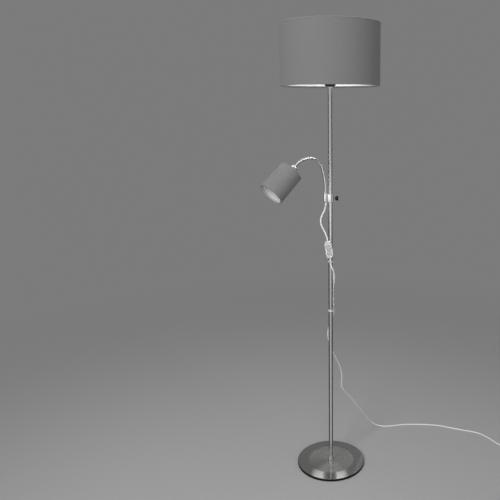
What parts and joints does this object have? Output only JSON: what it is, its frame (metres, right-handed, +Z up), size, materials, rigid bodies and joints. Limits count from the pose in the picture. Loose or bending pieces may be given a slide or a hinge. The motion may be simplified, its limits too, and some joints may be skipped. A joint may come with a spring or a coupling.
{
  "type": "torchiere floor lamp with reading light",
  "caption": "Standing lamp: fabric drum shade on a slim steel pole with a round weighted base, and a small shaded reading lamp on a bending neck, with an inline switch and mains lead.",
  "frame": {"origin": "centre of the base's underside, on the floor", "axes": "+Z up the pole, -X towards the side that the reading lamp hangs on, +Y to the right when seen from the reading lamp's side, looking back along +X"},
  "size_m": [0.9402, 0.6139, 1.6],
  "materials": {
    "base_steel": "radially brushed, satin",
    "weight_iron": "rough",
    "pad_felt": "matt felt",
    "pole_nickel": "satin nickel",
    "tube_steel": "plain",
    "inner_flex": "matt",
    "bright_chrome": "polished",
    "knob_black": "gloss",
    "clear_plastic": "clear, slightly milky",
    "holder_white": "gloss",
    "holder_black": "matt",
    "wire_white": "white powder coat",
    "shade_fabric": "fine matt weave",
    "shade_lining": "matt white film",
    "bulb_glass": "frosted",
    "bulb_metal": "plain",
    "rocker_dark": "gloss",
    "clear_cord": "clear sheath",
    "pin_brass": "plain"
  },
  "bodies": {
    "stand": {"base_cover": "base_steel", "base_weight": "weight_iron", "floor_pad": "pad_felt", "foot_collar": "pole_nickel", "foot_plug": "tube_steel", "foot_fixings": "tube_steel", "pole_lower": "pole_nickel", "pole_joiner": "tube_steel", "pole_middle": "pole_nickel", "pole_core": "pole_nickel", "pole_upper": "pole_nickel", "pole_nipple": "tube_steel", "lamp_flex": "inner_flex", "holder_cap": "holder_black", "holder_shell": "holder_black", "holder_nut": "holder_black", "main_carrier": "wire_white", "main_top_ring": "wire_white", "main_shade": "shade_fabric", "main_lining": "shade_lining", "main_bulb": "bulb_glass", "main_bulb_base": "bulb_metal", "switch_front": "clear_plastic", "switch_back": "clear_plastic", "switch_screws": "tube_steel", "cord_clips": "clear_plastic", "plug_body": "clear_plastic", "plug_pins": "pin_brass", "arm_cord": "clear_cord", "mains_cord": "clear_cord", "cord_coil": "clear_cord"},
    "bracket": {"neck_bracket": "bright_chrome", "cord_gland": "clear_plastic", "neck_ferrule": "bright_chrome"},
    "knob": {"lock_screw": "tube_steel", "lock_knob": "knob_black"},
    "link_01": {"neck_link_01": "bright_chrome"},
    "link_02": {"neck_link_02": "bright_chrome"},
    "link_03": {"neck_link_03": "bright_chrome"},
    "link_04": {"neck_link_04": "bright_chrome"},
    "link_05": {"neck_link_05": "bright_chrome"},
    "link_06": {"neck_link_06": "bright_chrome"},
    "link_07": {"neck_link_07": "bright_chrome"},
    "link_08": {"neck_link_08": "bright_chrome"},
    "link_09": {"neck_link_09": "bright_chrome"},
    "link_10": {"neck_link_10": "bright_chrome"},
    "link_11": {"neck_link_11": "bright_chrome"},
    "link_12": {"neck_link_12": "bright_chrome"},
    "head": {"head_ferrule": "bright_chrome", "reading_cap": "bright_chrome", "reading_holder": "holder_white", "reading_carrier": "wire_white", "reading_nut": "holder_white", "reading_shade": "shade_fabric", "reading_lining": "shade_lining", "reading_front_ring": "wire_white", "reading_bulb": "bulb_glass", "reading_bulb_base": "bulb_metal"},
    "rocker_main": {"rocker_main": "rocker_dark"},
    "rocker_reading": {"rocker_reading": "rocker_dark"}
  },
  "joints": [
    {"name": "arm_swivel", "type": "hinge", "parent": "stand", "child": "bracket", "pos_m": [0, 0, 1.012], "axis": [0, 0, 1], "range_deg": [-75, 75], "deforming": ["arm_cord"]},
    {"name": "knob_turn", "type": "hinge", "parent": "bracket", "child": "knob", "pos_m": [0.01798, -0.00877, 1.0098], "axis": [0.8988, -0.4384, 0], "range_deg": [0, 360]},
    {"name": "neck_bend_01", "type": "hinge", "parent": "bracket", "child": "link_01", "pos_m": [-0.01591, 0.00776, 1.0365], "axis": [0, -1, 0], "range_deg": [-1.42, 0.4]},
    {"name": "neck_bend_02", "type": "hinge", "parent": "link_01", "child": "link_02", "pos_m": [-0.0165, 0.00776, 1.0537], "axis": [0, -1, 0], "range_deg": [-2.84, 0.79]},
    {"name": "neck_bend_03", "type": "hinge", "parent": "link_02", "child": "link_03", "pos_m": [-0.01828, 0.00776, 1.07082], "axis": [0, -1, 0], "range_deg": [-2.84, 0.79]},
    {"name": "neck_bend_04", "type": "hinge", "parent": "link_03", "child": "link_04", "pos_m": [-0.02123, 0.00776, 1.08778], "axis": [0, -1, 0], "range_deg": [-2.84, 0.79]},
    {"name": "neck_bend_05", "type": "hinge", "parent": "link_04", "child": "link_05", "pos_m": [-0.02533, 0.00776, 1.1045], "axis": [0, -1, 0], "range_deg": [-3.02, 0.84]},
    {"name": "neck_bend_06", "type": "hinge", "parent": "link_05", "child": "link_06", "pos_m": [-0.03065, 0.00776, 1.12087], "axis": [0, -1, 0], "range_deg": [-9.73, 2.7]},
    {"name": "neck_bend_07", "type": "hinge", "parent": "link_06", "child": "link_07", "pos_m": [-0.03961, 0.00776, 1.13548], "axis": [0, -1, 0], "range_deg": [-13.15, 3.65]},
    {"name": "neck_bend_08", "type": "hinge", "parent": "link_07", "child": "link_08", "pos_m": [-0.0527, 0.00776, 1.14655], "axis": [0, -1, 0], "range_deg": [-13.15, 3.65]},
    {"name": "neck_bend_09", "type": "hinge", "parent": "link_08", "child": "link_09", "pos_m": [-0.0686, 0.00776, 1.15297], "axis": [0, -1, 0], "range_deg": [-12.43, 3.45]},
    {"name": "neck_bend_10", "type": "hinge", "parent": "link_09", "child": "link_10", "pos_m": [-0.08572, 0.00776, 1.15437], "axis": [0, -1, 0], "range_deg": [-9.73, 2.7]},
    {"name": "neck_bend_11", "type": "hinge", "parent": "link_10", "child": "link_11", "pos_m": [-0.10269, 0.00776, 1.15173], "axis": [0, -1, 0], "range_deg": [-9.47, 2.63]},
    {"name": "neck_bend_12", "type": "hinge", "parent": "link_11", "child": "link_12", "pos_m": [-0.11862, 0.00776, 1.14531], "axis": [0, -1, 0], "range_deg": [-9.47, 2.63]},
    {"name": "neck_bend_13", "type": "hinge", "parent": "link_12", "child": "head", "pos_m": [-0.13267, 0.00776, 1.13542], "axis": [0, -1, 0], "range_deg": [-4.74, 1.31]},
    {"name": "rocker_main_press", "type": "hinge", "parent": "stand", "child": "rocker_main", "pos_m": [-0.01667, -0.01063, 0.83996], "axis": [0.8011, -0.5821, 0.1392], "range_deg": [0, 16]},
    {"name": "rocker_reading_press", "type": "hinge", "parent": "stand", "child": "rocker_reading", "pos_m": [-0.01453, -0.01218, 0.82114], "axis": [0.8011, -0.5821, 0.1392], "range_deg": [0, 16]}
  ]
}
